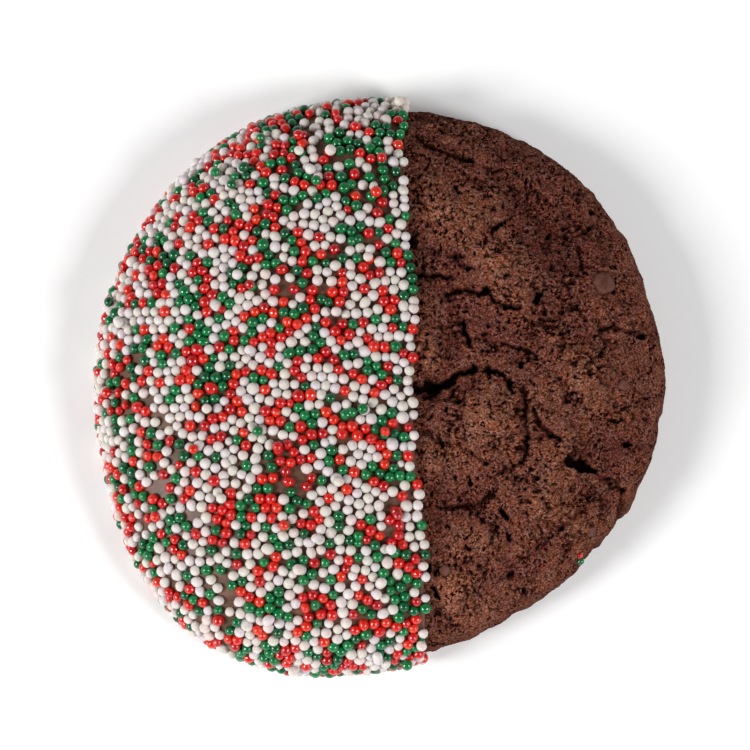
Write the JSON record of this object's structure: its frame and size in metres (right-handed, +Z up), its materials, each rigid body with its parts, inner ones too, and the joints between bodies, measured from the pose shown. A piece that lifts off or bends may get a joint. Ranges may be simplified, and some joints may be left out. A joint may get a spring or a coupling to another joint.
{
  "type": "dipped chocolate biscuit",
  "caption": "Round dark chocolate biscuit, cracked and crumbly on one side, dipped in chocolate and covered with red, white and green nonpareils on the other.",
  "frame": {"origin": "under the middle of the biscuit, on the surface that the dipped part rests on", "axes": "+Z up through the baked top, +X from the dipped part towards the bare part, +Y away from the viewer"},
  "size_m": [0.0785, 0.0801, 0.0178],
  "materials": {
    "baked_crumb": "dry, porous, dark chocolate crumb",
    "dipping_chocolate": "set chocolate, satin",
    "baked_chip": "smooth baked chocolate, dull",
    "white_nonpareils": "sugar, satin",
    "red_nonpareils": "glazed sugar, glossy",
    "green_nonpareils": "glazed sugar, glossy"
  },
  "bodies": {
    "root": {"biscuit": "baked_crumb", "sprinkled_dip": "dipping_chocolate", "chocolate_chip_1": "baked_chip", "chocolate_chip_2": "baked_chip", "chocolate_chip_3": "baked_chip", "chocolate_chip_4": "baked_chip"}
  },
  "joints": []
}
